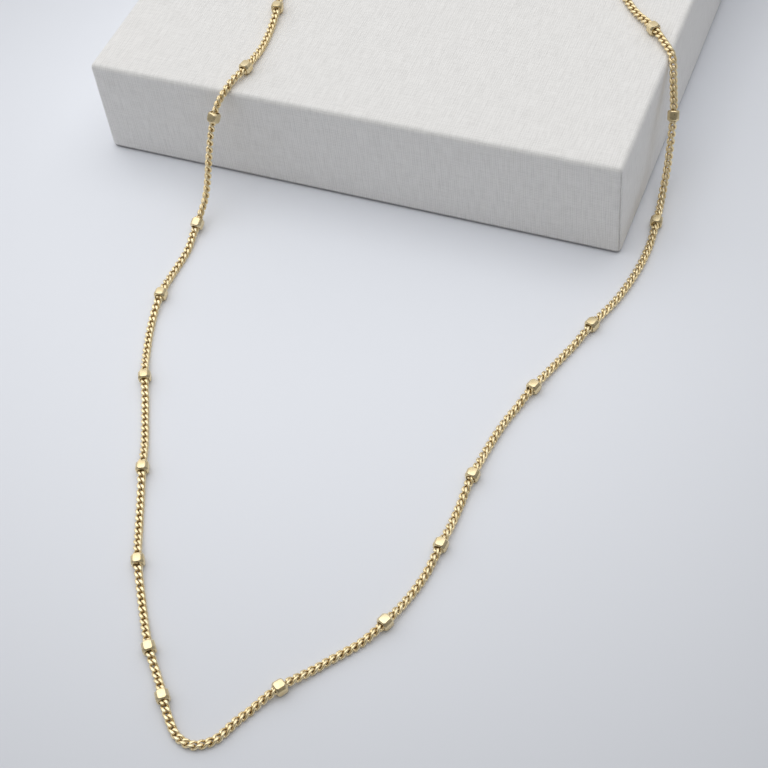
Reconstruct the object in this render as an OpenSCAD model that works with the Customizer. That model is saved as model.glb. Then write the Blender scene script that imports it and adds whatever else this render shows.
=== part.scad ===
// Fine beaded chain necklace lying over a low cloth-covered display box.
// Millimetres, +Z up, the table is z = 0. The origin is the centre of the box's underside, -Y is the
// side that the front of the necklace lies on, and the clasp is at the back, on top of the box.

/* [Display box] */
// Width of the box, along X
box_w = 86; // [85:0.5:86]
// Depth of the box, along Y
box_d = 86; // [85:0.5:86]
// Height of the box
box_h = 17.2; // [15:0.1:20]
// Rounding of the box's covered edges
box_round = 0.8; // [0.8:0.1:1.5]

/* [Chain] */
// Width over the flat of the curb chain
chain_w = 1.2; // [1:0.05:1.2]

/* [Beads] */
// Size of a bead across its flats
bead_w = 1.75; // [1.75:0.05:1.9]
// Length of a bead along the chain
bead_len = 1.55; // [1.3:0.05:1.9]
// How far the flats cut on a bead's long edges reach into its faces
bead_side_cut = 0.35; // [0.25:0.05:0.45]
// How far the flats cut round a bead's two ends reach into its faces
bead_end_cut = 0.15; // [0.1:0.05:0.15]
// How much deeper the flats on a bead's corners go than the points where its edge flats meet
bead_corner_cut = 0.34; // [0.2:0.02:0.44]

/* [Clasp] */
// Diameter of the barrel clasp
clasp_d = 2.6; // [2.5:0.1:3.2]
// Length of the barrel clasp
clasp_len = 9; // [7:0.5:11]
// Chamfer round the clasp's two ends
clasp_chamfer = 0.35; // [0.1:0.05:0.5]

/* [Fits] */
// Gap between the chain and the bore of a bead or of the clasp
bore_gap = 0.05; // [0.03:0.01:0.07]
// Gap below a bead or the clasp where it lies on the table or the box
rest_gap = 0.02; // [0.01:0.01:0.1]

/* [Hidden] */
chain_r = chain_w / 2;
bore_d = chain_w + 2 * bore_gap;

// The chain's centre line from one end in the clasp to the other.
// Columns: x, y, and rise, which is 0 on the table and 1 on top of the box.
ROUTE_X = 0;
ROUTE_Y = 1;
ROUTE_RISE = 2;
ROUTE = [
    // round the back and left of the box top
    [-2.5, 40, 1], [-5.5, 40, 1], [-9, 39.9, 1], [-21, 38, 1], [-32, 32, 1], [-37.5, 20, 1],
    [-36, 5, 1], [-29, -8, 1], [-22, -16.5, 1],
    // left strand on the box top, up to the front edge
    [-19.4, -22, 1], [-18.2, -28, 1], [-17.7, -34, 1], [-18.1, -39, 1.004], [-18.8, -41.3, 1.01],
    [-19.1, -42.9, 0.995],
    // down from the front edge to the table
    [-19.5, -44.2, 0.945], [-20.1, -45.6, 0.835], [-20.5, -47, 0.7], [-20.7, -48.1, 0.59],
    [-20.7, -49.7, 0.44], [-20.7, -51.3, 0.28], [-20.8, -53.1, 0.14], [-20.9, -55.2, 0.045],
    [-20.8, -57.6, 0],
    // left strand on the table
    [-20.4, -60.5, 0], [-20.3, -68, 0], [-19.4, -74.7, 0], [-17, -82, 0], [-13, -90.2, 0],
    [-9.2, -98, 0], [-6, -105.5, 0], [-2.2, -113.6, 0], [1.6, -120, 0], [5.8, -126, 0],
    [9.7, -130.5, 0], [12.4, -133.8, 0],
    // the bend at the front
    [14.4, -135.5, 0], [16.5, -135.9, 0], [18.4, -134.9, 0],
    // right strand on the table
    [20.6, -130.9, 0], [23.4, -126, 0], [27.5, -120.7, 0], [32, -114.5, 0], [34.6, -107, 0],
    [35.6, -97.7, 0], [35.7, -88.5, 0], [36.7, -79, 0], [39.3, -69.7, 0], [43.2, -58, 0],
    [45.5, -50.7, 0], [46.6, -44, 0], [46.7, -38.5, 0], [46.4, -34.7, 0],
    // up beside the right face of the box and over its edge
    [46.1, -31.9, 0.035], [45.9, -29.4, 0.13], [45.8, -27.4, 0.25], [45.6, -25.6, 0.39],
    [45.4, -24, 0.52], [45.1, -22.6, 0.63], [44.6, -21.1, 0.75], [44.1, -19.7, 0.86],
    [43.7, -18.6, 0.945], [43.2, -17.7, 1], [42.3, -16.6, 1.012],
    // right strand on the box top
    [41, -15.1, 1.004], [39.6, -13.6, 1.002], [34.5, -8.7, 1],
    // round the back and right of the box top
    [30.8, -3, 1], [31, 6, 1], [34.5, 16, 1], [33.5, 27.5, 1], [24, 37, 1], [9, 39.9, 1],
    [5.5, 40, 1], [2.5, 40, 1]
];

// Where the beads sit. Columns: distance from the bead before (or from the chain's end) to this one,
// and the places of more tube rings in that gap, as shares of it. The last row is the gap to the
// chain's other end, which takes what is left of the chain's length, so only its rings are read.
GAP_LEN = 0;
GAP_RINGS = 1;
GAPS = [
    // round the box top and down to the table
    [14.9, [0.5]], [15.7, [0.5]], [14.5, [0.5]], [16.3, [0.5]], [15.8, [0.5]], [16, [0.5]],
    [14.7, []], [10.15, [0.5, 0.72]], [17.05, [0.35, 0.65, 0.85]],
    // left strand, bend and right strand on the table
    [14.8, [0.25]], [15.95, []], [16.3, []], [15.15, []], [13.45, []], [7.35, []],
    [21.1, [0.2, 0.4, 0.6, 0.8]], [15.65, []], [13.35, []], [11.75, []], [17.1, []], [14, []],
    [22.7, [0.5]],
    // up the box's side and round its top
    [16.9, [0.2, 0.5]], [15.55, [0.54, 0.67]], [16, [0.5]], [15.6, [0.5]], [16.4, [0.5]],
    [15.4, [0.5]], [16.5, [0.5]]
];
bead_count = len(GAPS) - 1;

// Steps that each span of the route is drawn in, to measure along it
span_steps = 10;
// Sides of the chain's tube
tube_sides = 8;
// Length of chain that stays straight past each end of a bead
bead_grip = 0.2;
// Length of chain that stays straight from its end in the clasp
clasp_grip = 3;
// Length over which the chain climbs from what it lies on into a bead or the clasp
climb = 4.5;
// Gap between the chain's end and the bottom of its socket in the clasp
socket_gap = 0.1;
// Facets round a bore
bore_fn = 32;
// Facets round the clasp and the box's edges
round_fn = 48;

function route_point(row) = [row[ROUTE_X], row[ROUTE_Y], chain_r + row[ROUTE_RISE] * box_h];
knots = [for (row = ROUTE) route_point(row)];
last_knot = len(knots) - 1;

function unit(v) = v / norm(v);
function slope(i) = unit(knots[i + 1] - knots[i]);

// Direction of the route at a knot: the slopes on both sides, the nearer one counting more.
function knot_direction(i) =
    i == 0 ? slope(0) :
    i == last_knot ? slope(last_knot - 1) :
    let (before = norm(knots[i] - knots[i - 1]), after = norm(knots[i + 1] - knots[i]))
    (after * slope(i - 1) + before * slope(i)) / (before + after);

// A point on span i, at the share t of it from 0 to 1, on a smooth cubic curve.
function span_point(i, t) =
    let (
        reach = norm(knots[i + 1] - knots[i]),
        p = (2 * t^3 - 3 * t^2 + 1) * knots[i]
            + (t^3 - 2 * t^2 + t) * reach * knot_direction(i)
            + (3 * t^2 - 2 * t^3) * knots[i + 1]
            + (t^3 - t^2) * reach * knot_direction(i + 1)
    )
    [p.x, p.y, max(p.z, chain_r)];

path = [
    for (i = [0 : last_knot - 1], k = [0 : span_steps - 1]) span_point(i, k / span_steps),
    knots[last_knot]
];
path_at = [
    for (i = 0, s = 0; i < len(path); s = s + norm(path[min(i + 1, len(path) - 1)] - path[i]), i = i + 1) s
];
chain_len = path_at[len(path) - 1];
table_x = [for (i = [0 : len(path) - 1]) [path_at[i], path[i].x]];
table_y = [for (i = [0 : len(path) - 1]) [path_at[i], path[i].y]];
table_z = [for (i = [0 : len(path) - 1]) [path_at[i], path[i].z]];

// Distance along the chain to bead i, counted from 0.
bead_at = [for (i = 0, s = GAPS[0][GAP_LEN]; i < bead_count; i = i + 1, s = s + GAPS[i][GAP_LEN]) s];

// How far a bead or the clasp holds the chain's centre above where it would lie by itself.
bead_lift = bead_w / 2 + rest_gap - chain_r;
clasp_lift = clasp_d / 2 + rest_gap - chain_r;
bead_half = bead_len / 2 + bead_grip;

// 1 within the distance hold of a holding place, easing to 0 over the climb.
function held(distance, hold) =
    let (t = min(1, max(0, 1 - (distance - hold) / climb)))
    t * t * (3 - 2 * t);

function lift_at(s) = max(
    max([for (b = bead_at) bead_lift * held(abs(s - b), bead_half)]),
    clasp_lift * held(s, clasp_grip),
    clasp_lift * held(chain_len - s, clasp_grip)
);

function point_at(s) = [lookup(s, table_x), lookup(s, table_y), lookup(s, table_z) + lift_at(s)];

// Distances of the tube's rings: two at each end, two at each bead, and those between.
function gap_start(i) = i == 0 ? clasp_grip : bead_at[i - 1] + bead_half;
function gap_end(i) = i == bead_count ? chain_len - clasp_grip : bead_at[i] - bead_half;
function gap_rings(i) =
    [for (share = [0, each GAPS[i][GAP_RINGS], 1]) gap_start(i) + (gap_end(i) - gap_start(i)) * share];

ring_at = [0, for (i = [0 : bead_count]) each gap_rings(i), chain_len];
ring_points = [for (s = ring_at) point_at(s)];
last_ring = len(ring_points) - 1;

// Corners of ring i, square to the tube there, with a flat side down.
function ring_corners(i) =
    let (
        along = unit(ring_points[min(i + 1, last_ring)] - ring_points[max(i - 1, 0)]),
        side = unit(cross([0, 0, 1], along)),
        top = cross(along, side)
    )
    [
        for (k = [0 : tube_sides - 1])
            let (a = (k + 0.5) * 360 / tube_sides)
            ring_points[i] + chain_r * (cos(a) * side + sin(a) * top)
    ];

// Corner k of ring i in the polyhedron's list of points.
function corner(i, k) = i * tube_sides + k % tube_sides;
tube_faces = [
    [for (k = [0 : tube_sides - 1]) corner(0, k)],
    for (i = [0 : last_ring - 1], k = [0 : tube_sides - 1])
        each [
            [corner(i, k), corner(i + 1, k), corner(i + 1, k + 1)],
            [corner(i, k), corner(i + 1, k + 1), corner(i, k + 1)]
        ],
    [for (k = [tube_sides - 1 : -1 : 0]) corner(last_ring, k)]
];

function bead_name(i) = str("bead_", i < 9 ? "0" : "", i + 1);

// A bar along Z with a rounded rectangular section.
module rounded_bar(w, d, h) {
    linear_extrude(h, center = true) {
        square([w, d - 2 * box_round], center = true);
        square([w - 2 * box_round, d], center = true);
        for (x = [-1, 1], y = [-1, 1])
            translate([x * (w / 2 - box_round), y * (d / 2 - box_round)])
                circle(box_round, $fn = round_fn);
    }
}

// The closed box, covered in cloth, with every edge rounded.
module display_box() {
    color("gainsboro")
        translate([0, 0, box_h / 2])
            intersection() {
                rounded_bar(box_w, box_d, box_h);
                rotate([90, 0, 0])
                    rounded_bar(box_w, box_h, box_d);
                rotate([0, 90, 0])
                    rounded_bar(box_h, box_d, box_w);
            }
}

// The curb chain, as one tube of its outer size along its true route.
module chain() {
    color("goldenrod")
        polyhedron(
            points = [for (i = [0 : last_ring]) each ring_corners(i)],
            faces = tube_faces
        );
}

// A square bar along Z, turned by 45 degrees, that cuts the upright edges of a block w by h.
module edge_cutter(w, h, cut) {
    side = (w + h - 2 * cut) / sqrt(2);
    rotate([0, 0, 45])
        cube([side, side, 4 * bead_w], center = true);
}

// A slab square to one diagonal of a block, that cuts the two corners on that diagonal.
module corner_cutter(turn, reach) {
    rotate([0, acos(1 / sqrt(3)), turn])
        cube([4 * bead_w, 4 * bead_w, 2 * reach / sqrt(3)], center = true);
}

// One bead with its bore along X: a block with a flat cut on each of its edges and corners.
module bead_shape() {
    corner_reach = bead_len / 2 + bead_w - bead_side_cut / 2 - bead_end_cut - bead_corner_cut;
    difference() {
        intersection() {
            cube([bead_len, bead_w, bead_w], center = true);
            rotate([0, 90, 0])
                edge_cutter(bead_w, bead_w, bead_side_cut);
            edge_cutter(bead_len, bead_w, bead_end_cut);
            rotate([90, 0, 0])
                edge_cutter(bead_len, bead_w, bead_end_cut);
            corner_cutter(45, corner_reach);
            corner_cutter(135, corner_reach);
            corner_cutter(225, corner_reach);
            corner_cutter(315, corner_reach);
        }
        rotate([0, 90, 0])
            cylinder(d = bore_d, h = 2 * bead_len, center = true, $fn = bore_fn);
    }
}

// Bead i on the chain, square to it, with a flat down.
module bead(i) {
    start = point_at(bead_at[i] - bead_half);
    end = point_at(bead_at[i] + bead_half);
    along = unit(end - start);
    color("gold")
        translate((start + end) / 2)
            rotate([0, -asin(along.z), atan2(along.y, along.x)])
                bead_shape();
}

// The clasp: one plain barrel with a socket in each end for the chain.
module clasp() {
    r = clasp_d / 2;
    half = clasp_len / 2;
    chain_end = knots[last_knot].x;
    socket = half - chain_end + socket_gap;
    color("gold")
        translate([0, knots[0].y, box_h + rest_gap + r])
            rotate([0, 90, 0])
                difference() {
                    rotate_extrude($fn = round_fn)
                        polygon([
                            [0, -half], [r - clasp_chamfer, -half], [r, -half + clasp_chamfer],
                            [r, half - clasp_chamfer], [r - clasp_chamfer, half], [0, half]
                        ]);
                    for (up = [-1, 1])
                        translate([0, 0, up * (half - socket / 2 + 1)])
                            cylinder(d = bore_d, h = socket + 2, center = true, $fn = bore_fn);
                }
}

display_box();
chain();
clasp();
for (i = [0 : bead_count - 1])
    bead(i);
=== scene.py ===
"""Looks of a fine beaded chain necklace that lies over a low cloth-covered display box.

Metres, +Z up, the table is z = 0. The origin is the centre of the box's underside.
"""

import math
from itertools import combinations, product

import bmesh
import bpy
import numpy as np
from mathutils import Matrix, Vector


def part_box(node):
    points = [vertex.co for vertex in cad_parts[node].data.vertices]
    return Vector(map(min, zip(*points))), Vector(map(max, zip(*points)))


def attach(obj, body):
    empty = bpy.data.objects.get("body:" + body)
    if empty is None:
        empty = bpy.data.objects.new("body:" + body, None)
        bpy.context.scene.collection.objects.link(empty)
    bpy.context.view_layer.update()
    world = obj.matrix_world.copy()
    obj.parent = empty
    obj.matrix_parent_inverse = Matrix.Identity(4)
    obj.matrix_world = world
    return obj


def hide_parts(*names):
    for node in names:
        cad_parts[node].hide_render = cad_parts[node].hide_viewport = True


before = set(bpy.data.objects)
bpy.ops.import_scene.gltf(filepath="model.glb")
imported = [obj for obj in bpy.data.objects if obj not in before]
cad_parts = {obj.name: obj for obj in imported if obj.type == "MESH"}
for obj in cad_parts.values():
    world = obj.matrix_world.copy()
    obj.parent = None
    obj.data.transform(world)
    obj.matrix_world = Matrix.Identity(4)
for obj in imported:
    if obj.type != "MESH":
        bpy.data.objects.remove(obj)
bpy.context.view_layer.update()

BODY = "root"

# The chain's centre line from one end in the clasp to the other, as the CAD model has it.
# Columns: x, y, and rise, which is 0 on the table and 1 on top of the box.
ROUTE = [
    # round the back and left of the box top
    (-0.0025, 0.0400, 1), (-0.0055, 0.0400, 1), (-0.0090, 0.0399, 1), (-0.0210, 0.0380, 1),
    (-0.0320, 0.0320, 1), (-0.0375, 0.0200, 1), (-0.0360, 0.0050, 1), (-0.0290, -0.0080, 1),
    (-0.0220, -0.0165, 1),
    # left strand on the box top, up to the front edge
    (-0.0194, -0.0220, 1), (-0.0182, -0.0280, 1), (-0.0177, -0.0340, 1), (-0.0181, -0.0390, 1.004),
    (-0.0188, -0.0413, 1.01), (-0.0191, -0.0429, 0.995),
    # down from the front edge to the table
    (-0.0195, -0.0442, 0.945), (-0.0201, -0.0456, 0.835), (-0.0205, -0.0470, 0.7),
    (-0.0207, -0.0481, 0.59), (-0.0207, -0.0497, 0.44), (-0.0207, -0.0513, 0.28),
    (-0.0208, -0.0531, 0.14), (-0.0209, -0.0552, 0.045), (-0.0208, -0.0576, 0),
    # left strand on the table
    (-0.0204, -0.0605, 0), (-0.0203, -0.0680, 0), (-0.0194, -0.0747, 0), (-0.0170, -0.0820, 0),
    (-0.0130, -0.0902, 0), (-0.0092, -0.0980, 0), (-0.0060, -0.1055, 0), (-0.0022, -0.1136, 0),
    (0.0016, -0.1200, 0), (0.0058, -0.1260, 0), (0.0097, -0.1305, 0), (0.0124, -0.1338, 0),
    # the bend at the front
    (0.0144, -0.1355, 0), (0.0165, -0.1359, 0), (0.0184, -0.1349, 0),
    # right strand on the table
    (0.0206, -0.1309, 0), (0.0234, -0.1260, 0), (0.0275, -0.1207, 0), (0.0320, -0.1145, 0),
    (0.0346, -0.1070, 0), (0.0356, -0.0977, 0), (0.0357, -0.0885, 0), (0.0367, -0.0790, 0),
    (0.0393, -0.0697, 0), (0.0432, -0.0580, 0), (0.0455, -0.0507, 0), (0.0466, -0.0440, 0),
    (0.0467, -0.0385, 0), (0.0464, -0.0347, 0),
    # up beside the right face of the box and over its edge
    (0.0461, -0.0319, 0.035), (0.0459, -0.0294, 0.13), (0.0458, -0.0274, 0.25),
    (0.0456, -0.0256, 0.39), (0.0454, -0.0240, 0.52), (0.0451, -0.0226, 0.63),
    (0.0446, -0.0211, 0.75), (0.0441, -0.0197, 0.86), (0.0437, -0.0186, 0.945),
    (0.0432, -0.0177, 1), (0.0423, -0.0166, 1.012),
    # right strand on the box top
    (0.0410, -0.0151, 1.004), (0.0396, -0.0136, 1.002), (0.0345, -0.0087, 1),
    # round the back and right of the box top
    (0.0308, -0.0030, 1), (0.0310, 0.0060, 1), (0.0345, 0.0160, 1), (0.0335, 0.0275, 1),
    (0.0240, 0.0370, 1), (0.0090, 0.0399, 1), (0.0055, 0.0400, 1), (0.0025, 0.0400, 1),
]
# Distance along the chain to each bead from the bead before it, or from the chain's end.
BEAD_GAPS = [
    0.0149, 0.0157, 0.0145, 0.0163, 0.0158, 0.0160, 0.0147, 0.01015, 0.01705, 0.0148, 0.01595,
    0.0163, 0.01515, 0.01345, 0.00735, 0.0211, 0.01565, 0.01335, 0.01175, 0.0171, 0.0140, 0.0227,
    0.0169, 0.01555, 0.0160, 0.0156, 0.0164, 0.0154,
]
# Steps that each span of the route is drawn in, to measure along it.
SPAN_STEPS = 10
# Length of chain that stays straight past each end of a bead, and from the chain's end in the clasp.
BEAD_GRIP = 0.0002
CLASP_GRIP = 0.003
# Length over which the chain climbs from what it lies on into a bead or the clasp.
CLIMB = 0.0045

# The chain's outer radius, the radius of the bores, and the gap under the beads and the clasp.
CHAIN_R = 0.0006
BORE_R = 0.00065
REST_GAP = 0.00002

# Distance from one link to the next.
LINK_PITCH = 0.00102
# One curb link, along the middle of its wire: half its length, half its width, how high it twists.
LINK_HALF_LENGTH = 0.00075
LINK_HALF_WIDTH = 0.0004
LINK_TWIST = -0.00036
WIRE_R = 0.000195
# How far from the bore's middle a link may reach inside a bead.
LINK_IN_BORE = 0.00062
# The faces of the chain are ground flat at this distance from its middle.
LINK_FLAT = 0.00042
LINK_STEPS = 36
WIRE_SIDES = 12
# The joined pieces of chain in their order, and the beads inside which one ends and the next starts.
LINK_PIECES = ["back_left", "left", "front", "right", "back_right"]
CUT_BEADS = [6, 14, 17, 22]
# The links are turned about the chain where it hangs, on the right strand and at the right edge of
# the box top, and lie flat elsewhere. Columns: distance along the chain, and the turn in degrees.
ROLLS = [
    (0.105, 0), (0.119, 38), (0.133, 38), (0.139, 0), (0.218, 0), (0.236, -28), (0.325, -28),
    (0.337, -38), (0.350, -38), (0.362, -30), (0.372, -20), (0.380, 0),
]
# How far a link may turn about the chain and across it by chance, in radians.
LINK_ROLL_JITTER = 0.02
LINK_TILT_JITTER = 0.01
SEED = 11

# A bead: its width and length, and how much its long edges, end edges and corners are cut.
BEAD_W = 0.00175
BEAD_LEN = 0.00155
BEAD_SIDE_CUT = 0.00035
BEAD_END_CUT = 0.00015
BEAD_CORNER_CUT = 0.00034
# Its edges are worn to this radius, in so many steps, where they turn by this many degrees or more.
BEAD_EDGE_R = 0.00003
BEAD_EDGE_STEPS = 3
BEAD_EDGE_ANGLE = 20
BORE_SIDES = 32
# Three planes whose determinant is smaller than this don't meet in one corner of the bead.
NEARLY_PARALLEL = 0.1
# How far past a plane a corner may lie by rounding, and within how many degrees faces are one.
PLANE_SLACK = 1e-9
FLAT_WITHIN = 1

# The clasp: the cut of its ends, the depth and half width of its seam, and the wear of its edges.
CLASP_CHAMFER = 0.00035
CLASP_SEAM = 0.00008
CLASP_EDGE_R = 0.00012
# Distance from the clasp's middle to the bottom of each socket.
CLASP_SOCKET_END = 0.0024
CLASP_SIDES = 64

# The box: radius of its edges, steps round half an edge, cells of its flat sides, depth of its seams.
BOX_ROUND = 0.0008
BOX_EDGE_STEPS = 5
BOX_CELL = 0.004
BOX_SEAM_DEPTH = 0.0003

# Vertices nearer to each other than this are one.
WELD = 1e-7

BOX_LOW, BOX_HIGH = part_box("display_box")
BOX_H = BOX_HIGH.z
BOX_MIDDLE = (BOX_LOW + BOX_HIGH) / 2
BOX_HALF = (BOX_HIGH - BOX_LOW) / 2
# The box without its round edges: half its size, and its two far corners.
BOX_CORE = Vector([half - BOX_ROUND for half in BOX_HALF])
BOX_CORE_LOW, BOX_CORE_HIGH = np.array(BOX_LOW) + BOX_ROUND, np.array(BOX_HIGH) - BOX_ROUND
CLASP_LOW, CLASP_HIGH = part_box("clasp")
CLASP_R = (CLASP_HIGH.z - CLASP_LOW.z) / 2

# Camera, at the photograph's viewing angle. Angles in degrees, focal length in pixels.
IMAGE_W = 768
FOCAL_PX = 1601
SENSOR_MM = 36
CAMERA_AT = Vector((0.08538, -0.20252, 0.17638))
CAMERA_YAW = -28.03
CAMERA_DOWN = 50.99
CAMERA_ROLL = -8.43
CAMERA_NEAREST = 0.005

FLOOR_SIZE = 40


def unit(v):
    """v, or each row of v, with length 1."""
    return v / np.linalg.norm(v, axis=-1, keepdims=True)


# Route of the chain

def route_curve():
    """Points of the chain's centre line and their distances along it, without the lift at the beads."""
    knots = np.array([(x, y, CHAIN_R + rise * BOX_H) for x, y, rise in ROUTE])
    step = np.diff(knots, axis=0)
    reach = np.linalg.norm(step, axis=1)
    slope = step / reach[:, None]
    before, after = reach[:-1, None], reach[1:, None]
    inner = (after * slope[:-1] + before * slope[1:]) / (before + after)
    way = np.vstack([slope[:1], inner, slope[-1:]])
    points = []
    for i, length in enumerate(reach):
        for t in np.arange(SPAN_STEPS) / SPAN_STEPS:
            points.append(
                (2 * t**3 - 3 * t**2 + 1) * knots[i]
                + (t**3 - 2 * t**2 + t) * length * way[i]
                + (3 * t**2 - 2 * t**3) * knots[i + 1]
                + (t**3 - t**2) * length * way[i + 1]
            )
    points = np.array(points + [knots[-1]])
    points[:, 2] = np.maximum(points[:, 2], CHAIN_R)
    along = np.concatenate([[0], np.cumsum(np.linalg.norm(np.diff(points, axis=0), axis=1))])
    return points, along


CURVE, CURVE_AT = route_curve()
CHAIN_LEN = CURVE_AT[-1]
BEAD_AT = np.cumsum(BEAD_GAPS)
BEAD_HALF = BEAD_LEN / 2 + BEAD_GRIP


def held(distance, hold):
    """1 within the distance hold of a holding place, easing to 0 over the climb."""
    t = np.clip(1 - (distance - hold) / CLIMB, 0, 1)
    return t * t * (3 - 2 * t)


def grips(s):
    """How far the nearest bead and the clasp hold up the chain at s, each from 0 to 1."""
    bead = held(abs(s - BEAD_AT), BEAD_HALF).max()
    clasp = held(min(s, CHAIN_LEN - s), CLASP_GRIP)
    return bead, clasp


def point_at(s):
    """Where the CAD model has the chain's centre at the distance s along it."""
    bead, clasp = grips(s)
    lift = max(bead * (BEAD_W / 2 + REST_GAP - CHAIN_R), clasp * (CLASP_R + REST_GAP - CHAIN_R))
    x, y, z = (np.interp(s, CURVE_AT, CURVE[:, k]) for k in range(3))
    return np.array([x, y, z + lift])


def settled_point_at(s):
    """The chain's centre at s, with the thin links let down onto what they lie on between the beads."""
    return point_at(s) - np.array([0, 0, (CHAIN_R - LINK_FLAT) * (1 - max(grips(s)))])


def frame_along(along):
    """Rows along, across and up, square to each other, with across level."""
    across = unit(np.cross([0, 0, 1], along))
    return np.array([along, across, np.cross(along, across)])


# Meshes and pieces

def new_piece(name, mesh, material, slot, *nodes):
    """A piece that rides on the body and stands for the CAD nodes."""
    mesh.materials.clear()
    mesh.materials.append(material)
    piece = bpy.data.objects.new(name, mesh)
    bpy.context.scene.collection.objects.link(piece)
    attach(piece, BODY)
    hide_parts(*nodes)


def shade_smooth(mesh, sharp_from=None):
    """Makes the mesh look smooth, all over or up to an angle in degrees between faces."""
    mesh.polygons.foreach_set("use_smooth", [True] * len(mesh.polygons))
    if sharp_from is not None:
        mesh.set_sharp_from_angle(angle=math.radians(sharp_from))


def mesh_of(name, verts, faces):
    """A mesh from vertices and faces."""
    mesh = bpy.data.meshes.new(name)
    mesh.from_pydata(verts, [], faces)
    mesh.update()
    return mesh


def mesh_from(name, bm):
    """A mesh from a bmesh, which is freed."""
    mesh = bpy.data.meshes.new(name)
    bm.to_mesh(mesh)
    bm.free()
    return mesh


def tube_faces(rings, sides, closed):
    """Faces between rings of vertices, which run anticlockwise seen from the next ring."""
    faces = []
    for i in range(rings if closed else rings - 1):
        here, there = i * sides, (i + 1) % rings * sides
        for k in range(sides):
            after = (k + 1) % sides
            faces.append((here + k, here + after, there + after, there + k))
    return faces


# Chain links

def link_shape():
    """Vertices of one curb link along X, with its flat sides facing Z."""
    t = np.arange(LINK_STEPS) * 2 * math.pi / LINK_STEPS
    centre = np.stack([
        LINK_HALF_LENGTH * np.cos(t), LINK_HALF_WIDTH * np.sin(t), LINK_TWIST * np.sin(2 * t),
    ], axis=1)
    wire = unit(np.stack([
        -LINK_HALF_LENGTH * np.sin(t), LINK_HALF_WIDTH * np.cos(t), 2 * LINK_TWIST * np.cos(2 * t),
    ], axis=1))
    out = np.stack([np.cos(t), np.sin(t), 0 * t], axis=1)
    out = unit(out - (out * wire).sum(1, keepdims=True) * wire)
    over = np.cross(wire, out)
    a = np.arange(WIRE_SIDES) * 2 * math.pi / WIRE_SIDES
    verts = centre[:, None] + WIRE_R * (
        np.cos(a)[None, :, None] * out[:, None] + np.sin(a)[None, :, None] * over[:, None]
    )
    verts = verts.reshape(-1, 3)
    verts[:, 2] = np.clip(verts[:, 2], -LINK_FLAT, LINK_FLAT)
    reach = np.maximum(CHAIN_R, np.linalg.norm(verts[:, 1:], axis=1))
    verts[:, 1:] *= CHAIN_R / reach[:, None]
    return verts


def link_turn(s, rng):
    """Rows along, across and up for the link at s, with its chance turns."""
    before, after = settled_point_at(s - LINK_PITCH / 2), settled_point_at(s + LINK_PITCH / 2)
    rows = frame_along(unit(after - before))
    roll = math.radians(np.interp(s, *zip(*ROLLS))) + rng.normal(0, LINK_ROLL_JITTER)
    turn = Matrix.Rotation(roll, 3, Vector(rows[0]))
    turn = Matrix.Rotation(rng.normal(0, LINK_TILT_JITTER), 3, Vector(rows[1])) @ turn
    return rows @ np.array(turn).T


def set_down(verts, centre):
    """The link's vertices, moved out where it would sink into the table or the box."""
    verts[:, 2] += max(0, -verts[:, 2].min())
    inner = np.clip(verts, BOX_CORE_LOW, BOX_CORE_HIGH)
    depth = BOX_ROUND - np.linalg.norm(verts - inner, axis=1).min()
    return verts + max(0, depth) * unit(centre - np.clip(centre, BOX_CORE_LOW, BOX_CORE_HIGH))


def narrowed(verts, s):
    """The link's vertices, drawn in where the link at s would touch the bore of a bead round it."""
    bead = BEAD_AT[abs(s - BEAD_AT).argmin()]
    start, end = point_at(bead - BEAD_HALF), point_at(bead + BEAD_HALF)
    middle, along = (start + end) / 2, unit(end - start)
    forward = (verts - middle) @ along
    axis = middle + forward[:, None] * along
    reach = np.linalg.norm(verts - axis, axis=1)
    share = np.where(abs(forward) < BEAD_HALF, np.minimum(1, LINK_IN_BORE / reach), 1)
    return axis + share[:, None] * (verts - axis)


def link_places():
    """Distance along the chain to each link's middle. The end links stop at the chain's ends."""
    inset = LINK_HALF_LENGTH + WIRE_R - LINK_PITCH / 2
    run = CHAIN_LEN - 2 * inset
    count = int(run / LINK_PITCH)
    return inset + (np.arange(count) + 0.5) * run / count


def build_links(material):
    """The curb chain, link by link, in a few joined pieces that end inside beads."""
    shape = link_shape()
    shape_faces = np.array(tube_faces(LINK_STEPS, WIRE_SIDES, closed=True))
    off_axis = np.linalg.norm(shape[:, 1:], axis=1)
    rng = np.random.default_rng(SEED)
    cuts = [0, *(BEAD_AT[number - 1] for number in CUT_BEADS), CHAIN_LEN]
    places = link_places()
    for name, start, end in zip(LINK_PIECES, cuts, cuts[1:]):
        verts = []
        for s in places[(places >= start) & (places < end)]:
            centre = settled_point_at(s)
            verts.append(narrowed(set_down(shape @ link_turn(s, rng) + centre, centre), s))
        faces = np.concatenate([shape_faces + k * len(shape) for k in range(len(verts))])
        mesh = mesh_of("chain_links_" + name, np.concatenate(verts), faces.tolist())
        shade_smooth(mesh)
        distances = mesh.attributes.new("off_axis", "FLOAT", "POINT")
        distances.data.foreach_set("value", np.tile(off_axis, len(verts)))
        new_piece("chain_links_" + name, mesh, material, "gold_chain", "chain")


# Beads

def bead_planes():
    """Normals and reaches of the planes round a bead: its sides, its cut edges and its cut corners."""
    half = np.array([BEAD_LEN, BEAD_W, BEAD_W]) / 2
    planes = [(np.eye(3)[k] * sign, half[k]) for k in range(3) for sign in (-1, 1)]
    cuts = {(0, 1): BEAD_END_CUT, (0, 2): BEAD_END_CUT, (1, 2): BEAD_SIDE_CUT}
    for (j, k), cut in cuts.items():
        for sign_j, sign_k in product((-1, 1), repeat=2):
            normal = sign_j * np.eye(3)[j] + sign_k * np.eye(3)[k]
            planes.append((normal, half[j] + half[k] - cut))
    corner_reach = half.sum() - BEAD_SIDE_CUT / 2 - BEAD_END_CUT - BEAD_CORNER_CUT
    planes += [(np.array(signs), corner_reach) for signs in product((-1, 1), repeat=3)]
    return np.array([normal for normal, _ in planes]), np.array([reach for _, reach in planes])


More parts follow.
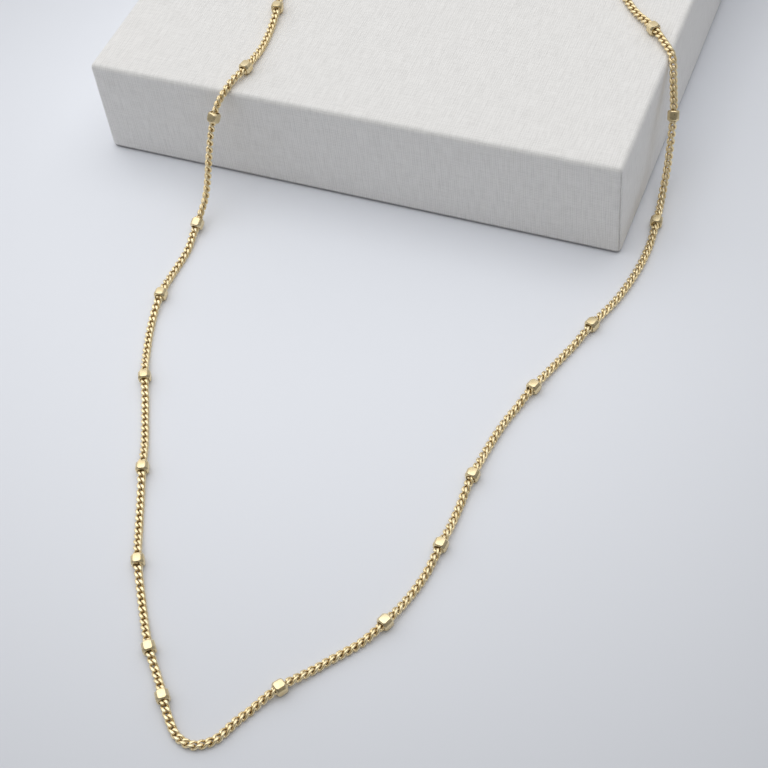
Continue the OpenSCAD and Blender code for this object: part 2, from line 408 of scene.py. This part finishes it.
def plane_corners(normals, reach):
    """Corners of the solid between the planes: where three of them meet and no other cuts it off."""
    corners = []
    for trio in combinations(range(len(reach)), 3):
        rows = normals[list(trio)]
        if abs(np.linalg.det(rows)) < NEARLY_PARALLEL:
            continue
        p = np.linalg.solve(rows, reach[list(trio)])
        if (normals @ p <= reach + PLANE_SLACK).all():
            corners.append(tuple(p))
    return corners


def bead_block():
    """The bead's block with all its edges and corners cut flat, with the bore's place along X."""
    bm = bmesh.new()
    for p in plane_corners(*bead_planes()):
        bm.verts.new(p)
    bmesh.ops.remove_doubles(bm, verts=bm.verts, dist=WELD)
    bmesh.ops.convex_hull(bm, input=bm.verts)
    bmesh.ops.dissolve_limit(
        bm, angle_limit=math.radians(FLAT_WITHIN), verts=bm.verts, edges=bm.edges,
    )
    return mesh_from("bead_block", bm)


def bore_cutter():
    """A rod of the bore's size along X, as an object in the scene."""
    bm = bmesh.new()
    bmesh.ops.create_cone(
        bm, cap_ends=True, segments=BORE_SIDES, radius1=BORE_R, radius2=BORE_R, depth=2 * BEAD_LEN,
        matrix=Matrix.Rotation(math.pi / 2, 4, "Y"),
    )
    cutter = bpy.data.objects.new("bead_bore", mesh_from("bead_bore", bm))
    bpy.context.scene.collection.objects.link(cutter)
    return cutter


def modified_mesh(base, name, set_modifiers):
    """A copy of the mesh with modifiers added by set_modifiers(object) and applied."""
    holder = bpy.data.objects.new(name, base)
    bpy.context.scene.collection.objects.link(holder)
    set_modifiers(holder)
    graph = bpy.context.evaluated_depsgraph_get()
    graph.update()
    mesh = bpy.data.meshes.new_from_object(holder.evaluated_get(graph))
    bpy.data.objects.remove(holder)
    mesh.name = name
    return mesh


def bead_mesh():
    """One bead with its bore along X: a block with flats cut on its edges, each edge softly worn."""
    cutter = bore_cutter()

    def modifiers(holder):
        cut = holder.modifiers.new("bore", "BOOLEAN")
        cut.operation = "DIFFERENCE"
        cut.solver = "EXACT"
        cut.object = cutter
        worn = holder.modifiers.new("worn_edges", "BEVEL")
        worn.width = BEAD_EDGE_R
        worn.segments = BEAD_EDGE_STEPS
        worn.limit_method = "ANGLE"
        worn.angle_limit = math.radians(BEAD_EDGE_ANGLE)
        worn.use_clamp_overlap = True

    mesh = modified_mesh(bead_block(), "faceted_bead", modifiers)
    bpy.data.objects.remove(cutter)
    shade_smooth(mesh, sharp_from=40)
    return mesh


def build_beads(material):
    """Every bead on the chain, each in the place of its CAD node."""
    shape = bead_mesh()
    for i, s in enumerate(BEAD_AT):
        start, end = point_at(s - BEAD_HALF), point_at(s + BEAD_HALF)
        turn = Matrix(frame_along(unit(end - start)).T.tolist()).to_4x4()
        mesh = shape.copy()
        mesh.transform(Matrix.Translation(Vector((start + end) / 2)) @ turn)
        number = f"{i + 1:02d}"
        new_piece("faceted_bead_" + number, mesh, material, "gold_beads", "bead_" + number)


# Clasp

def clasp_profile():
    """The barrel's outline from socket to socket, as distances along it and from its axis."""
    half = (CLASP_HIGH.x - CLASP_LOW.x) / 2
    flat_r = CLASP_R - CLASP_CHAMFER
    side = [
        (CLASP_SOCKET_END, 0), (CLASP_SOCKET_END, BORE_R), (half - CLASP_EDGE_R, BORE_R),
        (half, BORE_R + CLASP_EDGE_R), (half, flat_r - CLASP_EDGE_R),
        (half - CLASP_EDGE_R / 2, flat_r), (half - CLASP_CHAMFER, CLASP_R - CLASP_EDGE_R / 2),
        (half - CLASP_CHAMFER - CLASP_EDGE_R, CLASP_R), (CLASP_SEAM, CLASP_R),
        (0, CLASP_R - CLASP_SEAM),
    ]
    return side + [(-x, y) for x, y in reversed(side[:-1])]


def build_clasp(material):
    """The plain barrel clasp, with a fine seam round its middle and a socket in each end."""
    centre = (CLASP_LOW + CLASP_HIGH) / 2
    profile = clasp_profile()
    verts = []
    for x, r in profile:
        for k in range(CLASP_SIDES):
            a = 2 * math.pi * k / CLASP_SIDES
            verts.append((centre.x + x, centre.y + r * math.sin(a), centre.z + r * math.cos(a)))
    mesh = mesh_of("clasp_barrel", verts, tube_faces(len(profile), CLASP_SIDES, closed=False))
    shade_smooth(mesh, sharp_from=30)
    bm = bmesh.new()
    bm.from_mesh(mesh)
    bmesh.ops.remove_doubles(bm, verts=bm.verts, dist=WELD)
    bmesh.ops.recalc_face_normals(bm, faces=bm.faces)
    bm.to_mesh(mesh)
    bm.free()
    new_piece("clasp_barrel", mesh, material, "gold_clasp", "clasp")


# Display box

def box_lines(half):
    """Grid lines across one side of the box: close together round the edges, wide on the flat."""
    flat = half - BOX_ROUND
    turns = [45 * k / BOX_EDGE_STEPS for k in range(BOX_EDGE_STEPS + 1)]
    edge = [flat + BOX_ROUND * math.tan(math.radians(a)) for a in turns]
    cells = max(2, round(2 * flat / BOX_CELL))
    inner = [-flat + 2 * flat * k / cells for k in range(1, cells)]
    return [-x for x in reversed(edge)] + inner + edge


def seam_share(height):
    """How open the cover's seam at an upright corner is at this height, from 0 to 1."""
    below_top = (BOX_H - BOX_ROUND - height) / BOX_ROUND
    above_foot = (height - BOX_ROUND) / BOX_ROUND
    return min(1, max(0, below_top), max(0, above_foot))


def cover_point(p):
    """Where a point of the plain block, measured from its middle, lies on the soft-edged cover."""
    inner = Vector([max(-c, min(c, x)) for x, c in zip(p, BOX_CORE)])
    out = (p - inner).normalized()
    place = inner + BOX_ROUND * out
    if abs(abs(p.x) - BOX_HALF.x) < WELD and abs(abs(p.y) - BOX_HALF.y) < WELD:
        place -= BOX_SEAM_DEPTH * seam_share(place.z + BOX_MIDDLE.z) * out
    return place + BOX_MIDDLE


def add_side(bm, threads, axis, sign):
    """One side of the cover, across the axis, with the UV map threads that follows its cloth."""
    u_axis, v_axis = (k for k in range(3) if k != axis)
    grid = []
    for u in box_lines(BOX_HALF[u_axis]):
        row = []
        for v in box_lines(BOX_HALF[v_axis]):
            p = Vector((0, 0, 0))
            p[axis], p[u_axis], p[v_axis] = sign * BOX_HALF[axis], u, v
            row.append((bm.verts.new(cover_point(p)), (u, v)))
        grid.append(row)
    for row, next_row in zip(grid, grid[1:]):
        for k in range(len(row) - 1):
            corners = [row[k], next_row[k], next_row[k + 1], row[k + 1]]
            face = bm.faces.new([vert for vert, _ in corners])
            for loop, (_, uv) in zip(face.loops, corners):
                loop[threads].uv = uv


def build_box(material):
    """The box in its cloth cover: soft edges, and a fine seam down each upright corner."""
    bm = bmesh.new()
    threads = bm.loops.layers.uv.new("threads")
    for axis in range(3):
        for sign in (-1, 1):
            add_side(bm, threads, axis, sign)
    bmesh.ops.remove_doubles(bm, verts=bm.verts, dist=WELD)
    bmesh.ops.recalc_face_normals(bm, faces=bm.faces)
    mesh = mesh_from("display_box_cover", bm)
    shade_smooth(mesh, sharp_from=35)
    new_piece("display_box_cover", mesh, material, "linen_cover", "display_box")


# Materials

class Nodes:
    """A short way to add and link the shader nodes of a material or a world."""

    def __init__(self, owner):
        owner.use_nodes = True
        self.owner = owner
        self.tree = owner.node_tree

    def add(self, kind, inputs=None, **settings):
        """Adds a node. An input is a value or another node's output."""
        node = self.tree.nodes.new("ShaderNode" + kind)
        for key, value in settings.items():
            setattr(node, key, value)
        for key, value in (inputs or {}).items():
            self.put(node.inputs[key], value)
        return node

    def put(self, socket, value):
        """Links a node's output to the socket, or sets the socket's value."""
        if isinstance(value, bpy.types.NodeSocket):
            self.tree.links.new(value, socket)
        else:
            socket.default_value = value

    def math(self, operation, a, b=0.0, c=0.0):
        """The output of a math node."""
        return self.add("Math", {0: a, 1: b, 2: c}, operation=operation).outputs[0]

    def noise(self, place, scale, detail=2.0):
        """Noise from 0 to 1."""
        return self.add("TexNoise", {"Vector": place, "Scale": scale, "Detail": detail}).outputs["Fac"]

    def fade(self, value, start, end, kind="SMOOTHSTEP"):
        """0 where the value is at the start or before it, going over to 1 at the end."""
        limits = {"Value": value, "From Min": start, "From Max": end}
        return self.add("MapRange", limits, interpolation_type=kind).outputs["Result"]

    def ramp(self, factor, stops):
        """The colour output of a ramp with two (place, colour) stops."""
        node = self.add("ValToRGB", {"Fac": factor})
        for element, (place, colour) in zip(node.color_ramp.elements, stops):
            element.position = place
            element.color = (*colour, 1)
        return node.outputs["Color"]

    def toned(self, colour, tone):
        """The colour multiplied by the tone."""
        return self.add("VectorMath", {0: colour, 1: tone}, operation="MULTIPLY").outputs["Vector"]

    def bump(self, height, strength, distance):
        """The surface's normal with the height as fine relief."""
        return self.add(
            "Bump", {"Strength": strength, "Distance": distance, "Height": height},
        ).outputs["Normal"]

    def surface(self, inputs):
        """Sets or links the inputs of the material's shader, and returns the material."""
        for key, value in inputs.items():
            self.put(self.tree.nodes["Principled BSDF"].inputs[key], value)
        return self.owner


WHITE = (1, 1, 1)
GOLD_PALE = (1.0, 0.85, 0.55)
GOLD_DEEP = (0.95, 0.77, 0.44)
# Scale of the noise that sets the tone, and its values where the tone is deepest and palest.
GOLD_TONE_SCALE = 900.0
GOLD_DEEP_AT, GOLD_PALE_AT = 0.3, 0.62
# Share of the roughness that is there without polishing marks.
GOLD_SMOOTHEST = 0.5
# Strength and depth of the polishing marks' relief.
GOLD_RELIEF, GOLD_RELIEF_DEPTH = 0.15, 0.00001
# Painted shade in the hollows between links: its tone, and the distances from the chain's axis between
# which it ends.
HOLLOW_SHADE_TONE = (0.49, 0.41, 0.29)
HOLLOW_FROM = 0.00015
HOLLOW_TO = 0.00036


def painted_hollow_shade(n, colour):
    """The colour with painted shade, darker near the chain's axis in the hollows between links."""
    off_axis = n.add("Attribute", attribute_name="off_axis").outputs["Fac"]
    fade = n.fade(off_axis, HOLLOW_FROM, HOLLOW_TO)
    return n.toned(colour, n.ramp(fade, [(0, HOLLOW_SHADE_TONE), (1, WHITE)]))


def gold(name, roughness, polish_scale, tone_share=1.0, has_hollow_shade=False):
    """Polished gold plate with faint tone changes, fine polishing marks and uneven gloss, and where
    asked painted shade in the chain's hollows.
    """
    n = Nodes(bpy.data.materials.new(name))
    place = n.add("TexCoord").outputs["Object"]
    tone = n.noise(place, GOLD_TONE_SCALE, detail=3.0)
    marks = n.noise(place, polish_scale)
    deep, pale = (tuple(c * tone_share for c in gold_tone) for gold_tone in (GOLD_DEEP, GOLD_PALE))
    colour = n.ramp(tone, [(GOLD_DEEP_AT, deep), (GOLD_PALE_AT, pale)])
    return n.surface({
        "Base Color": painted_hollow_shade(n, colour) if has_hollow_shade else colour,
        "Roughness": n.math("MULTIPLY_ADD", marks, roughness, roughness * GOLD_SMOOTHEST),
        "Normal": n.bump(marks, GOLD_RELIEF, GOLD_RELIEF_DEPTH),
        "Metallic": 1.0,
    })


LINEN_LIGHT = (0.925, 0.915, 0.90)
LINEN_DARK = (0.735, 0.725, 0.71)
LINEN_DARK_AT, LINEN_LIGHT_AT = 0.25, 0.62
# Distance from one thread to the next.
THREAD = 0.00034
# Scales of the noise across and along a thread's thick places, and of the threads' slow drift.
SLUB_ACROSS, SLUB_ALONG, DRIFT_SCALE = 1.3 / THREAD, 0.10 / THREAD, 0.05 / THREAD
# Most drift of the threads, in radians of their pattern.
DRIFT = 1.5
# Shares of the weave in the tone, and of the warp in the thick places, and those places' height.
WEAVE_SHARE = 0.25
WARP_SHARE = 0.6
SLUB_HEIGHT = 0.6
# Strength and depth of the cloth's relief.
LINEN_RELIEF, LINEN_RELIEF_DEPTH = 0.5, 0.00008
# Painted contact shadow at the foot of the cover: its tone, and the heights between which it ends.
FOOT_SHADOW_TONE = (0.45, 0.44, 0.44)
FOOT_SHADOW_FROM = 0.0004
FOOT_SHADOW_TO = 0.0008


def weave_and_slubs(n):
    """Heights of warp and weft, which cross over and under each other, and of their thick places."""
    uv = n.add("UVMap", uv_map="threads").outputs["UV"]
    split = n.add("SeparateXYZ", {"Vector": uv})

    def streaks(scale_u, scale_v):
        """Noise drawn out along the threads."""
        stretch = n.add("Mapping", {"Vector": uv, "Scale": (scale_u, scale_v, 1)})
        return n.noise(stretch.outputs["Vector"], 1.0)

    drift = n.math("MULTIPLY", streaks(DRIFT_SCALE, DRIFT_SCALE), DRIFT)

    def wave(side):
        """A sine wave across the threads of one direction."""
        turns = n.math("MULTIPLY", split.outputs[side], math.pi / THREAD)
        return n.math("SINE", n.math("ADD", turns, drift))

    def threads(own, other, half):
        """Height of one direction's threads, up or down by half where they cross the others."""
        over = n.math("MULTIPLY_ADD", n.math("MULTIPLY", n.math("SIGN", own), other), half, 0.5)
        return n.math("MULTIPLY", n.math("ABSOLUTE", own), over)

    warp_wave, weft_wave = wave("X"), wave("Y")
    weave = n.math("MAXIMUM", threads(warp_wave, weft_wave, 0.5), threads(weft_wave, warp_wave, -0.5))
    warp_slubs = n.math("MULTIPLY", streaks(SLUB_ACROSS, SLUB_ALONG), WARP_SHARE)
    weft_slubs = n.math("MULTIPLY", streaks(SLUB_ALONG, SLUB_ACROSS), 1 - WARP_SHARE)
    return weave, n.math("ADD", warp_slubs, weft_slubs)


def linen(name):
    """Fine plain-weave linen with uneven threads, with painted contact shadow at the foot of the cover.
    """
    n = Nodes(bpy.data.materials.new(name))
    weave, slubs = weave_and_slubs(n)
    slub_shade = n.math("MULTIPLY", slubs, 1 - WEAVE_SHARE)
    shade = n.math("ADD", n.math("MULTIPLY", weave, WEAVE_SHARE), slub_shade)
    cloth = n.ramp(shade, [(LINEN_DARK_AT, LINEN_DARK), (LINEN_LIGHT_AT, LINEN_LIGHT)])
    height = n.add("SeparateXYZ", {"Vector": n.add("TexCoord").outputs["Object"]}).outputs["Z"]
    # Painted contact shadow, darkest at the foot of the cover where it meets the table.
    foot_shadow = n.ramp(n.fade(height, FOOT_SHADOW_FROM, FOOT_SHADOW_TO, kind="LINEAR"), [(0, FOOT_SHADOW_TONE), (1, WHITE)])
    relief = n.math("ADD", weave, n.math("MULTIPLY", slubs, SLUB_HEIGHT))
    return n.surface({
        "Base Color": n.toned(cloth, foot_shadow),
        "Normal": n.bump(relief, LINEN_RELIEF, LINEN_RELIEF_DEPTH),
        "Roughness": 0.92,
        "Specular IOR Level": 0.2,
        "Sheen Weight": 0.15,
        "Sheen Roughness": 0.4,
    })


FLOOR_COLOUR = (0.865, 0.89, 0.945)
# Painted light falloff on the table: where it is palest, how far off the painted shade starts and stops
# deepening, and the share of the colour left there.
FLOOR_LIGHT_POOL_AT = Vector((-0.005, -0.045, 0))
FLOOR_FALL_FROM, FLOOR_FALL_TO, FLOOR_SHADE_SHARE = 0.03, 0.17, 0.56


def pale_paint(name, colour):
    """The plain matte surface of the table, with painted shade that deepens away from the necklace as
    the light falls off.
    """
    n = Nodes(bpy.data.materials.new(name))
    place = n.add("TexCoord").outputs["Object"]
    away = n.add("VectorMath", {0: place, 1: FLOOR_LIGHT_POOL_AT}, operation="DISTANCE").outputs["Value"]
    deep = tuple(c * FLOOR_SHADE_SHARE for c in colour)
    return n.surface({
        # Painted shade: the colour deepens with distance from the pool of light.
        "Base Color": n.ramp(n.fade(away, FLOOR_FALL_FROM, FLOOR_FALL_TO), [(0, colour), (1, deep)]),
        "Roughness": 0.95,
        "Specular IOR Level": 0.1,
    })


# Stage, light and camera

# The sky's soft bright areas: towards where, how far off that way it starts (as a cosine), how bright.
SKY_AREAS = [
    (Vector((-0.30, 0.555, 0.777)), 0.0, 0.70),
    (Vector((0.70, -0.22, 0.20)), 0.0, 0.17),
    (Vector((-0.54, -0.70, 0.45)), 0.85, 0.30),
]
SKY_BASE = 0.05
# The soft lights: name, place, size and brightness, with 1 for white.
PANELS = [
    ("left_panel", Vector((-0.55, 0, 0.45)), 0.8, 0.5),
    ("top_panel", Vector((0.0, 0.0, 0.9)), 1.0, 1.0),
]
PANELS_FACE = Vector((0.01, -0.05, 0))


def build_floor():
    """The plain table, which isn't part of the object."""
    reach = FLOOR_SIZE / 2
    corners = [(-reach, -reach, 0), (reach, -reach, 0), (reach, reach, 0), (-reach, reach, 0)]
    mesh = mesh_of("floor", corners, [(0, 1, 2, 3)])
    mesh.materials.append(pale_paint("table_surface", FLOOR_COLOUR))
    floor = bpy.data.objects.new("floor", mesh)
    bpy.context.scene.collection.objects.link(floor)


def build_sky():
    """Faint even light, with soft bright areas at the back, at the right and at the front left."""
    world = bpy.data.worlds.new("soft_studio")
    bpy.context.scene.world = world
    n = Nodes(world)
    way = n.add("TexCoord").outputs["Generated"]
    light = SKY_BASE
    for toward, start, brightness in SKY_AREAS:
        facing = n.add("VectorMath", {0: way, 1: toward.normalized()}, operation="DOT_PRODUCT")
        glow = n.fade(facing.outputs["Value"], start, 1)
        light = n.math("MULTIPLY_ADD", glow, brightness, light)
    n.put(n.tree.nodes["Background"].inputs["Color"], light)


def add_panel(name, at, size, brightness):
    """A square soft light that faces the necklace."""
    light = bpy.data.lights.new(name, "AREA")
    light.shape = "SQUARE"
    light.size = size
    light.energy = math.pi * size**2 * brightness
    panel = bpy.data.objects.new(name, light)
    panel.location = at
    panel.rotation_mode = "QUATERNION"
    panel.rotation_quaternion = (at - PANELS_FACE).to_track_quat("Z", "Y")
    bpy.context.scene.collection.objects.link(panel)


def build_camera():
    """The camera at the photograph's viewing angle."""
    yaw, down, roll = (math.radians(a) for a in (CAMERA_YAW, CAMERA_DOWN, CAMERA_ROLL))
    ahead = Vector((math.sin(yaw) * math.cos(down), math.cos(yaw) * math.cos(down), -math.sin(down)))
    level = Vector((math.cos(yaw), -math.sin(yaw), 0))
    above = level.cross(ahead)
    right = math.cos(roll) * level + math.sin(roll) * above
    up = math.cos(roll) * above - math.sin(roll) * level
    data = bpy.data.cameras.new("camera")
    data.sensor_width = SENSOR_MM
    data.lens = SENSOR_MM * FOCAL_PX / IMAGE_W
    data.clip_start = CAMERA_NEAREST
    data.clip_end = 2 * FLOOR_SIZE
    camera = bpy.data.objects.new("camera", data)
    turn = Matrix((right, up, -ahead)).transposed().to_4x4()
    camera.matrix_world = Matrix.Translation(CAMERA_AT) @ turn
    bpy.context.scene.collection.objects.link(camera)
    bpy.context.scene.camera = camera


build_camera()
build_floor()
build_sky()
for panel_values in PANELS:
    add_panel(*panel_values)
bpy.context.scene.view_settings.view_transform = "Standard"

build_links(gold("chain_gold", roughness=0.36, polish_scale=7000.0, has_hollow_shade=True))
build_beads(gold("bead_gold", roughness=0.32, polish_scale=5000.0, tone_share=0.85))
build_clasp(gold("clasp_gold", roughness=0.20, polish_scale=4000.0))
build_box(linen("box_linen"))
